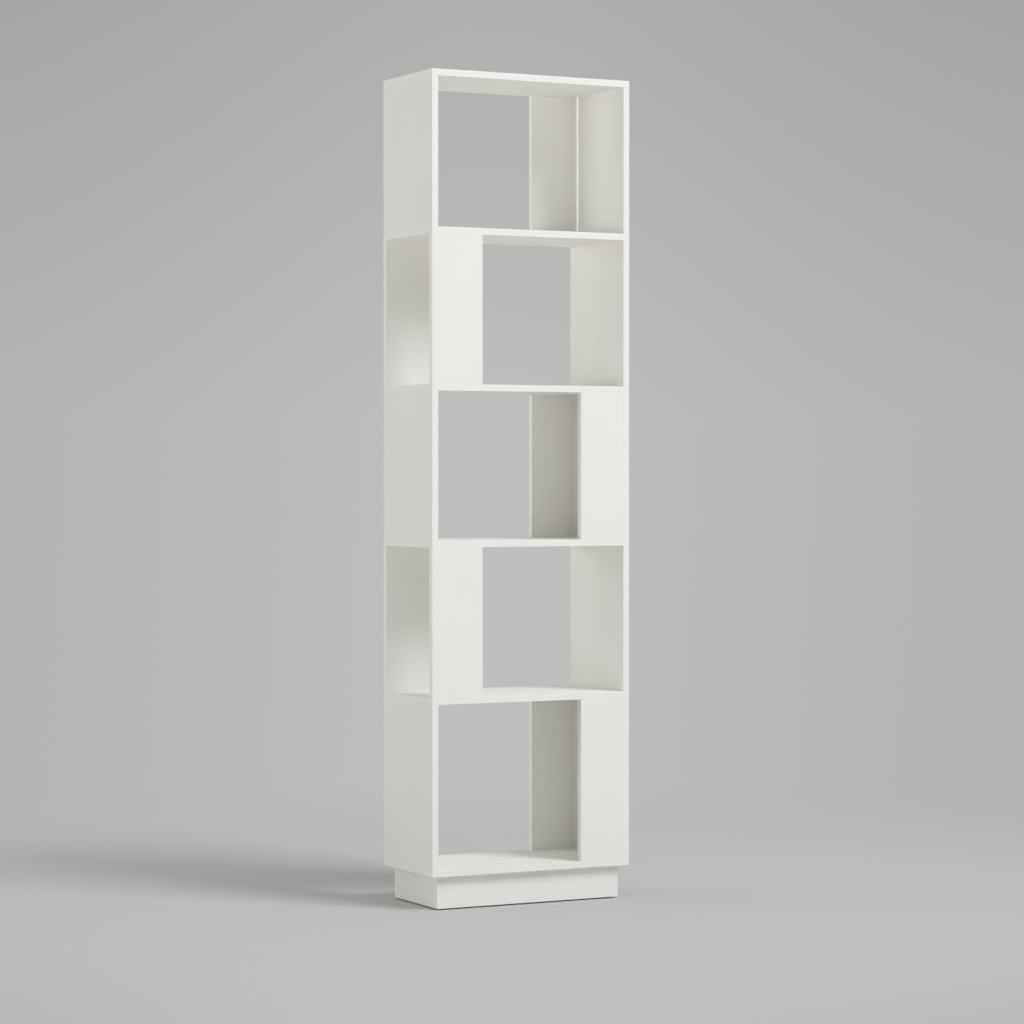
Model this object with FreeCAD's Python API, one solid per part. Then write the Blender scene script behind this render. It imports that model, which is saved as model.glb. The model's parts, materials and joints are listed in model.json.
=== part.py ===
import FreeCAD, Part
import os
from collections import namedtuple

# White zigzag bookcase: five open tiers stacked on a recessed plinth.
# Millimetres, X to the right, Y to the back, Z up. The origin is on the floor, under the middle.
# Tiers and shelves are numbered from the bottom. Full-width boards lie between the tiers, and the
# uprights of a tier stand on glued dowels in the board below them. Countersunk screws come down
# through the board above. A cap covers each screw head that no upright of the next tier stands on.

# Cabinet
width = 500.0
depth = 255.0
height = 1868.0             # from the floor to the top face
board = 15.0                # thickness of every board and upright
arris = 0.4                 # rounding of the board edges
bottom_tier_clear = 368.0   # the tiers above it share the rest of the height equally
narrow_width = 125.0        # narrow front and back panels, from the cabinet's outer side face
narrow_sides = ("right", "left", "right", "left", "right")  # where they stand, from the bottom tier up

# Cleat in the back right corner of the top tier
cleat_thickness = 4.0
cleat_depth = 23.5
brad_diameter = 1.6
brad_bite = 10.0            # length in the right side panel
brad_point = 2.0
brad_inset = 40.0           # first and last brad from the cleat's ends
brad_count = 4

# Plinth
plinth_height = 73.0
plinth_face_recess = 17.0   # set back from the front and back edges of the bottom board
plinth_end_recess = 20.0    # set back from its left and right edges
block_size = 25.0           # square corner blocks inside the plinth

# Floor glides, pushed up into the corner blocks
glide_diameter = 22.0
glide_height = 3.0
glide_chamfer = 0.8
stem_diameter = 8.0
stem_length = 12.0

# Dowels
dowel_diameter = 8.0
dowel_bite = 20.0           # length in the upright
dowel_floor = 5.0           # thickness of board left under a dowel
dowel_chamfer = 0.8
dowel_inset = 15.0          # from the ends of the upright's long side in plan

# Screws through the boards, and their caps
screw_diameter = 4.5
screw_head = 9.0
screw_bite = 37.0           # length in the upright
screw_point = 5.0
screw_inset = 33.0          # from the ends of the upright's long side in plan
socket_flats = 3.0          # hexagon socket in the head
socket_depth = 2.2
cap_diameter = 10.0
cap_thickness = 2.0
cap_chamfer = 0.3

# Screws from the corner blocks into the plinth boards
block_screw_diameter = 4.0
block_screw_head = 8.0
block_screw_bite = 10.0     # length in the plinth board

# Clearances
fit_gap = 0.05              # around a fastener in its hole
end_gap = 0.5               # past the end of a fastener in a blind hole

half_width = width / 2
half_depth = depth / 2
inner_x = half_width - board
inner_y = half_depth - board
top_tier = len(narrow_sides)
up = FreeCAD.Vector(0, 0, 1)

Upright = namedtuple("Upright", "name x y")


def box(x, y, z):
    """Plain box from its low and high limits along each axis."""
    corner = FreeCAD.Vector(x[0], y[0], z[0])
    return Part.makeBox(x[1] - x[0], y[1] - y[0], z[1] - z[0], corner)


def rounded_board(x, y, z):
    """Board with its arris rounded all over."""
    body = box(x, y, z)
    return body.makeFillet(arris, body.Edges)


def rounded_upright(x, y, z):
    """Upright with its standing edges rounded, and square ends that butt on the boards."""
    body = box(x, y, z)
    standing = [edge for edge in body.Edges if abs(edge.tangentAt(edge.FirstParameter).z) > 0.5]
    return body.makeFillet(arris, standing)


def turned(profile):
    """Solid of revolution about Z, from (radius, z) points."""
    points = [FreeCAD.Vector(radius, 0, z) for radius, z in profile]
    outline = Part.makePolygon(points + points[:1])
    return Part.Face(outline).revolve(FreeCAD.Vector(), up, 360)


def rod(diameter, low, high, chamfer):
    """Round rod along Z with both ends chamfered."""
    radius = diameter / 2
    return turned([(0, low), (radius - chamfer, low), (radius, low + chamfer),
                   (radius, high - chamfer), (radius - chamfer, high), (0, high)])


def pointed(diameter, head, length, point):
    """Countersunk fastener that hangs down from its head's flat top at the origin."""
    radius = diameter / 2
    sink = (head - diameter) / 2
    return turned([(0, 0), (head / 2, 0), (radius, -sink), (radius, point - length), (0, -length)])


def hexagon(flats, length):
    """Hexagonal prism down from the origin."""
    points = [FreeCAD.Vector(flats / 3 ** 0.5, 0, 0)]
    for _ in range(6):
        turn = FreeCAD.Rotation(up, 60)
        points.append(turn.multVec(points[-1]))
    return Part.Face(Part.makePolygon(points)).extrude(up * -length)


def screw(diameter, head, length):
    """Countersunk screw with a hexagon socket, down from its head's flat top at the origin."""
    return pointed(diameter, head, length, screw_point).cut(hexagon(socket_flats, socket_depth))


def screw_hole(diameter, head, length):
    """Hole for such a screw, open above its head by the thickness of a cap."""
    radius = diameter / 2 + fit_gap
    head_radius = head / 2 + fit_gap
    sink = head_radius - radius
    return turned([(0, cap_thickness), (head_radius, cap_thickness), (head_radius, 0),
                   (radius, -sink), (radius, -length - end_gap), (0, -length - end_gap)])


def cylinder(diameter, low, high):
    """Plain cylinder along Z."""
    return Part.makeCylinder(diameter / 2, high - low, FreeCAD.Vector(0, 0, low))


def at(shape, spot, z):
    """Copy of a shape moved to a spot in plan and up to z."""
    return shape.translated(FreeCAD.Vector(spot[0], spot[1], z))


# What stands where

def tier_uprights(tier):
    """Uprights of a tier, with their limits in plan."""
    whole = (-half_depth, half_depth)
    found = [Upright("right_side", (inner_x, half_width), whole)]
    if narrow_sides[tier - 1] == "right":
        found.append(Upright("left_side", (-half_width, -inner_x), whole))
        narrow = (half_width - narrow_width, inner_x)
    else:
        narrow = (-half_width, narrow_width - half_width)
    found.append(Upright("back_panel", narrow, (inner_y, half_depth)))
    if tier < top_tier:
        found.append(Upright("front_panel", narrow, (-half_depth, -inner_y)))
    return found


plinth_x = half_width - plinth_end_recess
plinth_y = half_depth - plinth_face_recess
plinth_heights = (glide_height, glide_height + plinth_height)
plinth_rails = [
    Upright("plinth_front", (-plinth_x, plinth_x), (-plinth_y, board - plinth_y)),
    Upright("plinth_back", (-plinth_x, plinth_x), (plinth_y - board, plinth_y)),
]
plinth_ends = [
    Upright("plinth_left", (-plinth_x, board - plinth_x), (board - plinth_y, plinth_y - board)),
    Upright("plinth_right", (plinth_x - board, plinth_x), (board - plinth_y, plinth_y - board)),
]

# Full-width boards, numbered from 0 at the bottom, and the heights of their undersides
board_names = ["bottom_board"] + [f"shelf_{n}" for n in range(1, top_tier)] + ["top_board"]
undersides = [plinth_heights[1]]
boards_and_bottom_tier = (top_tier + 1) * board + bottom_tier_clear
tier_clear = (height - undersides[0] - boards_and_bottom_tier) / (top_tier - 1)
for tier in range(1, top_tier + 1):
    clear = bottom_tier_clear if tier == 1 else tier_clear
    undersides.append(undersides[-1] + board + clear)


def uprights_above(number):
    """Uprights that stand on a board."""
    return tier_uprights(number + 1) if number < top_tier else []


def uprights_below(number):
    """Uprights that a board is screwed down to."""
    return tier_uprights(number) if number > 0 else plinth_rails


def fixing_spots(upright, inset):
    """Two spots in plan on an upright's centre line, set in from the ends of its long side."""
    (x_low, x_high), (y_low, y_high) = upright.x, upright.y
    if x_high - x_low > y_high - y_low:
        middle = (y_low + y_high) / 2
        return [(x_low + inset, middle), (x_high - inset, middle)]
    middle = (x_low + x_high) / 2
    return [(middle, y_low + inset), (middle, y_high - inset)]


def covers(upright, spot):
    """Whether an upright stands on a spot."""
    return upright.x[0] < spot[0] < upright.x[1] and upright.y[0] < spot[1] < upright.y[1]


def dowel_spots(number):
    return [spot for upright in uprights_above(number) for spot in fixing_spots(upright, dowel_inset)]


def screw_spots(number):
    return [spot for upright in uprights_below(number) for spot in fixing_spots(upright, screw_inset)]


def cap_spots(number):
    """Screws whose heads no upright stands on."""
    above = uprights_above(number)
    return [spot for spot in screw_spots(number) if not any(covers(upright, spot) for upright in above)]


# Fasteners at each board, and their holes in all that they pass through

screw_length = board - cap_thickness + screw_bite
dowel_depth = board - dowel_floor


def dowels(number):
    top = undersides[number] + board
    one = rod(dowel_diameter, -dowel_depth, dowel_bite, dowel_chamfer)
    return [at(one, spot, top) for spot in dowel_spots(number)]


def screws(number):
    head_top = undersides[number] + board - cap_thickness
    one = screw(screw_diameter, screw_head, screw_length)
    return [at(one, spot, head_top) for spot in screw_spots(number)]


def caps(number):
    top = undersides[number] + board
    radius = cap_diameter / 2
    one = turned([(0, -cap_thickness), (radius, -cap_thickness), (radius, -cap_chamfer),
                  (radius - cap_chamfer, 0), (0, 0)])
    return [at(one, spot, top) for spot in cap_spots(number)]


def dowel_holes(number):
    top = undersides[number] + board
    one = cylinder(dowel_diameter + 2 * fit_gap, -dowel_depth - end_gap, dowel_bite + end_gap)
    return [at(one, spot, top) for spot in dowel_spots(number)]


def screw_holes(number):
    head_top = undersides[number] + board - cap_thickness
    hole = screw_hole(screw_diameter, screw_head, screw_length)
    seat = cylinder(cap_diameter + 2 * fit_gap, 0, cap_thickness)
    capped = cap_spots(number)
    found = []
    for spot in screw_spots(number):
        found.append(at(hole, spot, head_top))
        if spot in capped:
            found.append(at(seat, spot, head_top))
    return found


# Corner blocks of the plinth, with their screws and glides

block_x = plinth_x - board - block_size / 2
block_y = plinth_y - board - block_size / 2
block_screw_length = block_size + block_screw_bite
block_corners = {
    "front_left": (-1, -1),
    "front_right": (1, -1),
    "back_left": (-1, 1),
    "back_right": (1, 1),
}


def block_fasteners(shape, corner):
    """The two copies of a downward fastener that run out of a corner block into its two plinth boards."""
    side, face = corner
    third = plinth_height / 3
    to_end = shape.rotated(FreeCAD.Vector(), FreeCAD.Vector(0, 1, 0), -90 * side)
    to_rail = shape.rotated(FreeCAD.Vector(), FreeCAD.Vector(1, 0, 0), 90 * face)
    end_spot = (side * (block_x - block_size / 2), face * block_y)
    rail_spot = (side * block_x, face * (block_y - block_size / 2))
    return [at(to_end, end_spot, glide_height + third), at(to_rail, rail_spot, glide_height + 2 * third)]


def block_screws():
    one = screw(block_screw_diameter, block_screw_head, block_screw_length)
    return [solid for corner in block_corners.values() for solid in block_fasteners(one, corner)]


def block_screw_holes():
    one = screw_hole(block_screw_diameter, block_screw_head, block_screw_length)
    return [hole for corner in block_corners.values() for hole in block_fasteners(one, corner)]


def glides():
    """Round pads under the blocks, each with a stem that grips in its block."""
    pad = rod(glide_diameter, 0, glide_height, glide_chamfer)
    stem = cylinder(stem_diameter, glide_height, glide_height + stem_length)
    one = pad.fuse(stem).removeSplitter()
    return [at(one, (side * block_x, face * block_y), 0) for side, face in block_corners.values()]


def stem_holes():
    one = cylinder(stem_diameter + 2 * fit_gap, glide_height, glide_height + stem_length + end_gap)
    return [at(one, (side * block_x, face * block_y), 0) for side, face in block_corners.values()]


# Cleat of the top tier, against the right side panel and the back panel

cleat_x = (inner_x - cleat_thickness, inner_x)
cleat_y = (inner_y - cleat_depth, inner_y)
cleat_heights = (undersides[top_tier - 1] + board, undersides[top_tier])


def along_cleat(shape):
    """Copies of a downward fastener, turned to run through the cleat into the side panel."""
    turned_over = shape.rotated(FreeCAD.Vector(), FreeCAD.Vector(0, 1, 0), -90)
    spot = (cleat_x[0], sum(cleat_y) / 2)
    first = cleat_heights[0] + brad_inset
    step = (cleat_heights[1] - brad_inset - first) / (brad_count - 1)
    return [at(turned_over, spot, first + n * step) for n in range(brad_count)]


brad_length = cleat_thickness + brad_bite


def cleat_brads():
    return along_cleat(pointed(brad_diameter, brad_diameter, brad_length, brad_point))


def brad_holes():
    return along_cleat(cylinder(brad_diameter + 2 * fit_gap, -brad_length - end_gap, 0))


# The pieces

nodes = {}

for number, name in enumerate(board_names):
    heights = (undersides[number], undersides[number] + board)
    body = rounded_board((-half_width, half_width), (-half_depth, half_depth), heights)
    nodes[name] = [body.cut(dowel_holes(number) + screw_holes(number))]
    nodes[name + "_screws"] = screws(number)
    nodes[name + "_caps"] = caps(number)

for tier in range(1, top_tier + 1):
    heights = (undersides[tier - 1] + board, undersides[tier])
    holes = dowel_holes(tier - 1) + screw_holes(tier)
    if tier == top_tier:
        holes += brad_holes()
    for upright in tier_uprights(tier):
        body = rounded_upright(upright.x, upright.y, heights)
        nodes[f"tier_{tier}_{upright.name}"] = [body.cut(holes)]
    nodes[f"tier_{tier}_dowels"] = dowels(tier - 1)

nodes["corner_cleat"] = [rounded_upright(cleat_x, cleat_y, cleat_heights).cut(brad_holes())]
nodes["cleat_brads"] = cleat_brads()

for plinth_board in plinth_rails + plinth_ends:
    body = rounded_board(plinth_board.x, plinth_board.y, plinth_heights)
    nodes[plinth_board.name] = [body.cut(screw_holes(0) + block_screw_holes())]

for corner_name, (side, face) in block_corners.items():
    block_limits = [(side * block_x - block_size / 2, side * block_x + block_size / 2),
                    (face * block_y - block_size / 2, face * block_y + block_size / 2)]
    body = box(*block_limits, plinth_heights)
    nodes["plinth_block_" + corner_name] = [body.cut(block_screw_holes() + stem_holes())]
nodes["plinth_block_screws"] = block_screws()
nodes["floor_glides"] = glides()

os.makedirs("parts", exist_ok=True)
for name, solids in nodes.items():
    Part.makeCompound(solids).exportStep(f"parts/{name}.step")
print(len(nodes), "nodes,", sum(len(solids) for solids in nodes.values()), "solids")
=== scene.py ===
import json
import math
from collections import namedtuple

import bpy
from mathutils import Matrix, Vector


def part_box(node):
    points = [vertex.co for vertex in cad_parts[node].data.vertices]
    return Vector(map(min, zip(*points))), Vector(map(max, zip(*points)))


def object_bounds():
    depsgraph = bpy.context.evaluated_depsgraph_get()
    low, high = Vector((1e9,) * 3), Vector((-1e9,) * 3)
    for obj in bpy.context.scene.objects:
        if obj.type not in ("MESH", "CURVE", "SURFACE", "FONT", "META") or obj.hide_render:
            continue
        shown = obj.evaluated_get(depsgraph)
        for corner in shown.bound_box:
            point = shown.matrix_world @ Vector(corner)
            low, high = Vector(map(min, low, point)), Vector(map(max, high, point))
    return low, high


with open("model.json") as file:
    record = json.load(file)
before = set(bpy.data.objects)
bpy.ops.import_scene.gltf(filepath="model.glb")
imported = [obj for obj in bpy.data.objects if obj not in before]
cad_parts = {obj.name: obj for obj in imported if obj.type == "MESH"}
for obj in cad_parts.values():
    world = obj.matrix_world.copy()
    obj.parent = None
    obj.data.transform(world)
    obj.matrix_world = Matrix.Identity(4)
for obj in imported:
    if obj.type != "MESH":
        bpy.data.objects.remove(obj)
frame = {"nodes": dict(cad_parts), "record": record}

cad_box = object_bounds()
scene = bpy.context.scene

# Lengths are in metres. Front is -Y and right is +X, as the photograph shows the bookcase.

# Camera: a long lens at the front left, tilted down a little, in the photograph's frame
picture_side = 1024            # pixels
focal_length = 3122            # pixels
sensor_width = 36.0            # millimetres
camera_place = (-3.2625, -6.3482, 0.9742)
camera_turn = math.radians(27.303)     # from straight back toward the right
camera_tilt = math.radians(0.723)      # down

# Soft boxes that face the bookcase. Turns are from straight in front toward the right, and rises upward,
# in degrees. The kicker reaches one node alone: it makes the cleat's front edge shine.
SoftBox = namedtuple("SoftBox", "turn rise distance size power colour only", defaults=(None,))
soft_boxes = {
    "key": SoftBox(28.7, 44.5, 12.0, (4.3, 5.5), 800.0, (0.99, 1.0, 1.05)),
    "front_fill": SoftBox(-10, 0, 7.0, (5.0, 1.8), 41.0, (1, 1, 1)),
    "back_left": SoftBox(-125, 6, 7.0, (5.0, 2.4), 113.0, (1, 1, 1)),
    "kicker": SoftBox(0, 4, 7.0, (1.0, 1.0), 215.0, (1, 1, 1), "corner_cleat"),
}
room_light = 0.8               # straight overhead, fading to nothing at the horizon
room_colour = (1, 1, 1, 1)

# Floor and backdrop
floor_radius = 40.0
floor_corners = 96
floor_colour = (0.555, 0.550, 0.538, 1)
floor_roughness = 0.8
floor_gloss = 0.2
floor_fade = (0.6, 2.8)        # from the bookcase, where the floor turns into the backdrop
floor_bounce = 1.6             # light from that outer floor, as a multiple of how bright it looks
# The backdrop and the outer floor are painted light: a glowing pool, brightest behind the bookcase, dimmer
# to the sides and darker higher up
backdrop_low = (0.522, 0.516, 0.505, 1)
backdrop_high = (0.431, 0.426, 0.418, 1)
backdrop_rise = (1, 9)         # degrees above the horizon between which the backdrop darkens upward, as painted shade
backdrop_middle = math.radians(26.9)   # from straight back toward the right, where it is brightest
backdrop_spread = math.radians(6.5)    # to either side of that, where it has dimmed by half
backdrop_dim = 0.83                    # how bright it is far from there, as a share
backdrop_start = (-3.3, -6.3, 0)       # on the floor in front, where the painted pool of light fans out from

# White board: foil on the wide faces, edging on the narrow ones
board_white = (0.908, 0.902, 0.862, 1)
board_shade = (0.896, 0.889, 0.846, 1)
board_step = (0.37, 0.61, 0.83)  # shifts the pattern from one board to the next
foil_roughness = (0.56, 0.64)
foil_gloss = 0.25
edging_white = (0.912, 0.907, 0.872, 1)
edging_thickness = 0.0008
glue_brown = (0.62, 0.58, 0.50, 1)
glue_share = 0.3               # how much of that colour the line shows
glue_line = 0.00008            # half its width, beside the edging
rubbed_width = 0.003           # along the edges, where hands polish the foil
rubbed_polish = 0.08           # taken off the roughness right at the edges

# Small parts. A grain is a pattern's scale along X, Y and Z, per metre.
cap_white = (0.900, 0.897, 0.868, 1)
cap_shade = (0.885, 0.880, 0.846, 1)
cap_roughness = (0.38, 0.48)
wood_roughness = (0.6, 0.75)
wood_gloss = 0.3
beech_light = (0.64, 0.44, 0.27, 1)
beech_dark = (0.50, 0.31, 0.17, 1)
beech_streak_grain = (900, 900, 30)
beech_fleck_grain = (1600, 1600, 250)
pine_light = (0.72, 0.55, 0.34, 1)
pine_dark = (0.52, 0.32, 0.15, 1)
pine_fibre_grain = (1500, 1500, 25)
pine_sway_grain = (20, 20, 4)
pine_sway = 6                  # year rings by which they wander
pine_rings = (420, 150)        # year rings per metre along X and Y
pine_late_wood = 3             # a power: the higher, the narrower the dark part of a ring
zinc_light = (0.66, 0.66, 0.65, 1)
zinc_dark = (0.50, 0.51, 0.53, 1)
zinc_roughness = (0.28, 0.42)
glide_grey = (0.105, 0.105, 0.108, 1)
glide_dark = (0.080, 0.080, 0.083, 1)
glide_roughness = (0.45, 0.6)

# Patterns
noise_range = (0.3, 0.7)       # where most of a noise pattern's values lie
bump_strength = 0.6


# Shader nodes

def add(tree, kind, inputs, **settings):
    """Adds a shader node. The inputs are plain values or other nodes' outputs, by socket name or number."""
    node = tree.nodes.new("ShaderNode" + kind)
    for name, value in settings.items():
        setattr(node, name, value)
    for socket, value in inputs.items():
        if isinstance(value, bpy.types.NodeSocket):
            tree.links.new(value, node.inputs[socket])
        else:
            node.inputs[socket].default_value = value
    return node


def math_node(tree, operation, *values):
    return add(tree, "Math", dict(enumerate(values)), operation=operation).outputs[0]


def vector_node(tree, operation, *values, output="Vector"):
    return add(tree, "VectorMath", dict(enumerate(values)), operation=operation).outputs[output]


def ranged(tree, value, start, end, low, high, **settings):
    """Maps a value from start..end to low..high, and holds it there."""
    limits = {"Value": value, "From Min": start, "From Max": end, "To Min": low, "To Max": high}
    return add(tree, "MapRange", limits, **settings).outputs["Result"]


def mix_colours(tree, share, first, second):
    return add(tree, "Mix", {0: share, 6: first, 7: second}, data_type="RGBA").outputs[2]


def object_place(tree):
    return add(tree, "TexCoord", {}).outputs["Object"]


def object_property(tree, name, output="Vector"):
    return add(tree, "Attribute", {}, attribute_type="OBJECT", attribute_name=name).outputs[output]


def noise(tree, place, scale, detail=2.0):
    return add(tree, "TexNoise", {"Vector": place, "Scale": scale, "Detail": detail}).outputs["Fac"]


def grain_noise(tree, place, grain, detail=2.0):
    """Noise that runs along the axis with the smallest number in its grain."""
    return noise(tree, vector_node(tree, "MULTIPLY", place, grain), 1, detail)


def bump(tree, height, depth):
    inputs = {"Height": height, "Strength": bump_strength, "Distance": depth}
    return add(tree, "Bump", inputs).outputs["Normal"]


def new_material(name):
    """A new material, its node tree and its main shader."""
    material = bpy.data.materials.new(name)
    material.use_nodes = True
    return material, material.node_tree, material.node_tree.nodes["Principled BSDF"]


def finish_surface(tree, surface, colour, roughness, normal, **constants):
    """Links the patterned inputs of the main shader, and sets the constant ones."""
    tree.links.new(colour, surface.inputs["Base Color"])
    tree.links.new(roughness, surface.inputs["Roughness"])
    tree.links.new(normal, surface.inputs["Normal"])
    for name, value in constants.items():
        surface.inputs[name.replace("_", " ")].default_value = value


# Studio

def make_camera():
    data = bpy.data.cameras.new("camera")
    data.sensor_width = sensor_width
    data.lens = sensor_width * focal_length / picture_side
    camera = bpy.data.objects.new("camera", data)
    camera.location = camera_place
    camera.rotation_euler = (math.pi / 2 - camera_tilt, 0, -camera_turn)
    scene.collection.objects.link(camera)
    scene.camera = camera


def make_soft_box(name, box):
    turn = math.radians(box.turn)
    rise = math.radians(box.rise)
    way = Vector((math.sin(turn) * math.cos(rise), -math.cos(turn) * math.cos(rise), math.sin(rise)))
    aim = Vector((0, 0, (cad_box[0].z + cad_box[1].z) / 2))
    data = bpy.data.lights.new(name, "AREA")
    data.shape = "RECTANGLE"
    data.size, data.size_y = box.size
    data.energy = box.power
    data.color = box.colour
    light = bpy.data.objects.new(name, data)
    light.location = aim + way * box.distance
    light.rotation_euler = way.to_track_quat("Z", "Y").to_euler()
    light.visible_camera = False
    if box.only:
        lit = bpy.data.collections.new(name)
        lit.objects.link(frame["nodes"][box.only])
        light.light_linking.receiver_collection = lit
    scene.collection.objects.link(light)


def seen(tree):
    """1 for what the camera, gloss and glass see, and 0 for the light that falls on things."""
    rays = add(tree, "LightPath", {}).outputs
    either = math_node(tree, "MAXIMUM", rays["Is Camera Ray"], rays["Is Glossy Ray"])
    return math_node(tree, "MAXIMUM", either, rays["Is Transmission Ray"])


def backdrop_strength(tree, way):
    """Painted pool of light: brightest behind the bookcase, and softly dimmer to both sides."""
    flat = vector_node(tree, "NORMALIZE", vector_node(tree, "MULTIPLY", way, (1, 1, 0)))
    middle = (math.sin(backdrop_middle), math.cos(backdrop_middle), 0)
    along = vector_node(tree, "DOT_PRODUCT", flat, middle, output="Value")
    aside = math_node(tree, "SUBTRACT", 1, along)
    half_dimmed = 1 - math.cos(backdrop_spread)
    share = math_node(tree, "DIVIDE", aside, math_node(tree, "ADD", aside, half_dimmed))
    return ranged(tree, share, 0, 1, 1, backdrop_dim)


def make_world():
    """Soft light from above, and a backdrop that is only seen, with a painted pool of light and painted
    shade higher up.
    """
    world = bpy.data.worlds.new("studio")
    world.use_nodes = True
    tree = world.node_tree
    tree.nodes.clear()
    way = add(tree, "TexCoord", {}).outputs["Generated"]
    height = add(tree, "SeparateXYZ", {0: way}).outputs["Z"]
    rise = [math.sin(math.radians(angle)) for angle in backdrop_rise]
    colour = mix_colours(tree, ranged(tree, height, *rise, 0, 1), backdrop_low, backdrop_high)
    backdrop = add(tree, "Background", {"Color": colour, "Strength": backdrop_strength(tree, way)})
    level = ranged(tree, height, 0, 1, 0, room_light)
    light = add(tree, "Background", {"Color": room_colour, "Strength": level})
    mixed = add(tree, "MixShader", {0: seen(tree), 1: light.outputs[0], 2: backdrop.outputs[0]})
    add(tree, "OutputWorld", {"Surface": mixed.outputs[0]})
    scene.world = world


def floor_material():
    """Plain pale grey near the bookcase, turning further out into the backdrop, which glows with a painted
    pool of light.
    """
    material, tree, surface = new_material("floor")
    surface.inputs["Base Color"].default_value = floor_colour
    surface.inputs["Roughness"].default_value = floor_roughness
    surface.inputs["Specular IOR Level"].default_value = floor_gloss
    place = object_place(tree)
    distance = vector_node(tree, "LENGTH", place, output="Value")
    share = ranged(tree, distance, *floor_fade, 0, 1, interpolation_type="SMOOTHSTEP")
    looks = backdrop_strength(tree, vector_node(tree, "SUBTRACT", place, backdrop_start))
    strength = math_node(tree, "MULTIPLY", looks, ranged(tree, seen(tree), 0, 1, floor_bounce, 1))
    backdrop = add(tree, "Emission", {"Color": backdrop_low, "Strength": strength})
    mixed = add(tree, "MixShader", {0: share, 1: surface.outputs[0], 2: backdrop.outputs[0]})
    tree.links.new(mixed.outputs[0], tree.nodes["Material Output"].inputs["Surface"])
    return material


def make_floor():
    bpy.ops.mesh.primitive_circle_add(vertices=floor_corners, radius=floor_radius, fill_type="NGON")
    floor = bpy.context.object
    floor.name = "floor"
    floor.data.materials.append(floor_material())


# Surfaces of the bookcase

def narrow_face(tree, thin_axis):
    """1 on a board's narrow faces, which don't face along its thin axis, and 0 on its wide ones."""
    facing = add(tree, "TexCoord", {}).outputs["Normal"]
    along = vector_node(tree, "DOT_PRODUCT", facing, thin_axis, output="Value")
    return math_node(tree, "LESS_THAN", math_node(tree, "ABSOLUTE", along), 0.5)


def edge_distance(tree, thin_axis):
    """Distance on a board's wide faces from the nearest edge that no neighbour covers."""
    place = object_place(tree)
    from_low = vector_node(tree, "SUBTRACT", place, object_property(tree, "edge_low"))
    from_high = vector_node(tree, "SUBTRACT", object_property(tree, "edge_high"), place)
    nearest = vector_node(tree, "MINIMUM", from_low, from_high)
    parts = add(tree, "SeparateXYZ", {0: vector_node(tree, "ADD", nearest, thin_axis)}).outputs
    return math_node(tree, "MINIMUM", math_node(tree, "MINIMUM", parts["X"], parts["Y"]), parts["Z"])


def white_board():
    """Matt white foil, faintly cloudy and finely pebbled, with smoother edging on the narrow faces."""
    material, tree, surface = new_material("white_board")
    number = object_property(tree, "board_number", "Fac")
    place = vector_node(tree, "MULTIPLY_ADD", number, board_step, object_place(tree))
    thin_axis = object_property(tree, "thin_axis")
    edging = narrow_face(tree, thin_axis)
    distance = edge_distance(tree, thin_axis)
    line = math_node(tree, "COMPARE", distance, edging_thickness, glue_line)
    rubbed = ranged(tree, distance, 0, rubbed_width, rubbed_polish, 0)

    cloud = ranged(tree, noise(tree, place, scale=8, detail=3), *noise_range, 0, 1)
    foil = mix_colours(tree, cloud, board_white, board_shade)
    foil = mix_colours(tree, math_node(tree, "MULTIPLY", line, glue_share), foil, glue_brown)
    colour = mix_colours(tree, edging, foil, edging_white)

    smears = ranged(tree, noise(tree, place, scale=30, detail=4), *noise_range, *foil_roughness)
    roughness = math_node(tree, "SUBTRACT", smears, rubbed)
    normal = bump(tree, noise(tree, place, scale=1100), depth=0.00002)
    finish_surface(tree, surface, colour, roughness, normal, Specular_IOR_Level=foil_gloss)
    return material


def white_cap():
    """Moulded white plastic."""
    material, tree, surface = new_material("white_cap")
    place = object_place(tree)
    colour = mix_colours(tree, noise(tree, place, scale=60), cap_white, cap_shade)
    roughness = ranged(tree, noise(tree, place, scale=300), *noise_range, *cap_roughness)
    normal = bump(tree, noise(tree, place, scale=2500), depth=0.00001)
    finish_surface(tree, surface, colour, roughness, normal)
    return material


def beech():
    """Raw beech with its grain along Z and the short dark flecks of its rays."""
    material, tree, surface = new_material("beech")
    place = object_place(tree)
    grain = grain_noise(tree, place, beech_streak_grain, detail=4)
    streaks = ranged(tree, grain, 0.3, 0.75, 0, 0.6)
    flecks = ranged(tree, grain_noise(tree, place, beech_fleck_grain), 0.6, 0.7, 0, 1)
    colour = mix_colours(tree, math_node(tree, "MAXIMUM", streaks, flecks), beech_light, beech_dark)
    roughness = ranged(tree, grain, *noise_range, *wood_roughness)
    normal = bump(tree, grain, depth=0.00005)
    finish_surface(tree, surface, colour, roughness, normal, Specular_IOR_Level=wood_gloss)
    return material


def softwood():
    """Planed pine with its year rings along Z."""
    material, tree, surface = new_material("softwood")
    place = object_place(tree)
    across = add(tree, "SeparateXYZ", {0: place}).outputs
    rings = math_node(tree, "MULTIPLY", grain_noise(tree, place, pine_sway_grain), pine_sway)
    for axis, count in zip("XY", pine_rings):
        rings = math_node(tree, "MULTIPLY_ADD", across[axis], count, rings)
    late_wood = math_node(tree, "POWER", math_node(tree, "FRACT", rings), pine_late_wood)
    fibre = grain_noise(tree, place, pine_fibre_grain, detail=3)
    shade = math_node(tree, "MULTIPLY", late_wood, ranged(tree, fibre, 0.2, 0.8, 0.6, 1))
    colour = mix_colours(tree, shade, pine_light, pine_dark)
    roughness = ranged(tree, fibre, *noise_range, *wood_roughness)
    normal = bump(tree, fibre, depth=0.00008)
    finish_surface(tree, surface, colour, roughness, normal, Specular_IOR_Level=wood_gloss)
    return material


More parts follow.
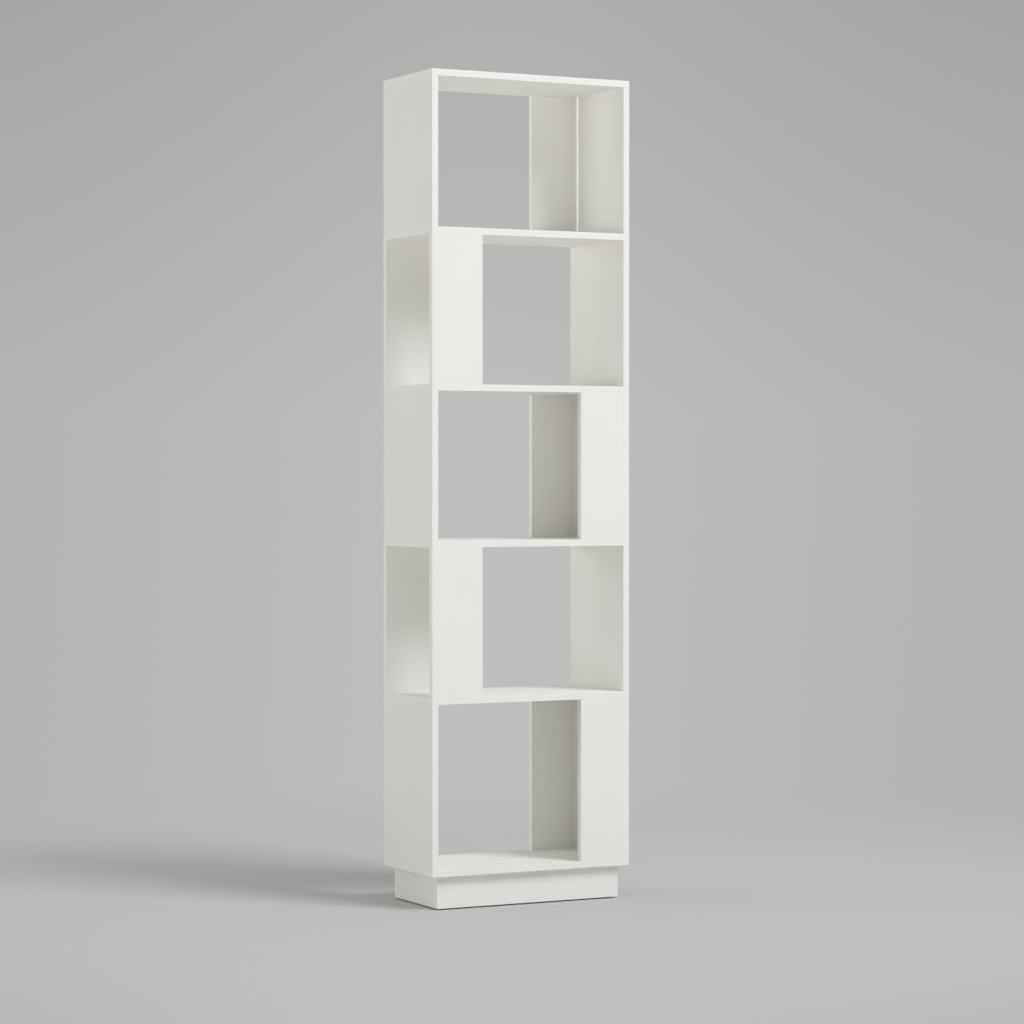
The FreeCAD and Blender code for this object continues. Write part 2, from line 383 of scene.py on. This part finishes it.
def zinc_steel():
    """Zinc-plated steel with a mottled, slightly cloudy plating."""
    material, tree, surface = new_material("zinc_steel")
    place = object_place(tree)
    mottle = noise(tree, place, scale=500, detail=3)
    colour = mix_colours(tree, ranged(tree, mottle, 0.35, 0.65, 0, 1), zinc_light, zinc_dark)
    roughness = ranged(tree, mottle, *noise_range, *zinc_roughness)
    normal = bump(tree, noise(tree, place, scale=4000), depth=0.000005)
    finish_surface(tree, surface, colour, roughness, normal, Metallic=1.0)
    return material


def grey_plastic():
    """Dark grey moulded plastic with a fine spark texture."""
    material, tree, surface = new_material("grey_plastic")
    place = object_place(tree)
    grain = noise(tree, place, scale=2200)
    colour = mix_colours(tree, noise(tree, place, scale=90), glide_grey, glide_dark)
    roughness = ranged(tree, grain, *noise_range, *glide_roughness)
    finish_surface(tree, surface, colour, roughness, bump(tree, grain, depth=0.00002))
    return material


def inside(point, box):
    return all(box[0][axis] < point[axis] < box[1][axis] for axis in range(3))


def tell_board(node, name, number, boxes):
    """Gives a board's object the facts that its material reads: its number, its thin axis and its edges.

    An edge that a neighbour covers is moved far off, so that nothing is drawn along it.
    """
    touch = 0.001
    far_off = 1.0
    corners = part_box(name)
    middle = (corners[0] + corners[1]) / 2
    size = corners[1] - corners[0]
    edges = [list(corners[0]), list(corners[1])]
    for axis in range(3):
        for end, way in enumerate((-1, 1)):
            beyond = middle.copy()
            beyond[axis] = corners[end][axis] + way * touch
            if any(inside(beyond, box) for box in boxes):
                edges[end][axis] += way * far_off
    thin = min(range(3), key=lambda axis: size[axis])
    node["board_number"] = float(number)
    node["thin_axis"] = [float(axis == thin) for axis in range(3)]
    node["edge_low"], node["edge_high"] = edges


def dress():
    """Puts the record's material slots on the CAD nodes."""
    makers = (white_board, white_cap, beech, softwood, zinc_steel, grey_plastic)
    materials = {make.__name__: make() for make in makers}
    slots = {subpart["node"]: subpart["material_slot"] for subpart in frame["record"]["subparts"]}
    for name, slot in slots.items():
        node = frame["nodes"][name]
        node.data.materials.clear()
        node.data.materials.append(materials[slot])
    boards = [name for name, slot in slots.items() if slot == "white_board"]
    boxes = [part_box(name) for name in boards]
    for number, name in enumerate(boards):
        tell_board(frame["nodes"][name], name, number, boxes)


make_camera()
for name, box in soft_boxes.items():
    make_soft_box(name, box)
make_world()
make_floor()
dress()
scene.view_settings.view_transform = "Standard"
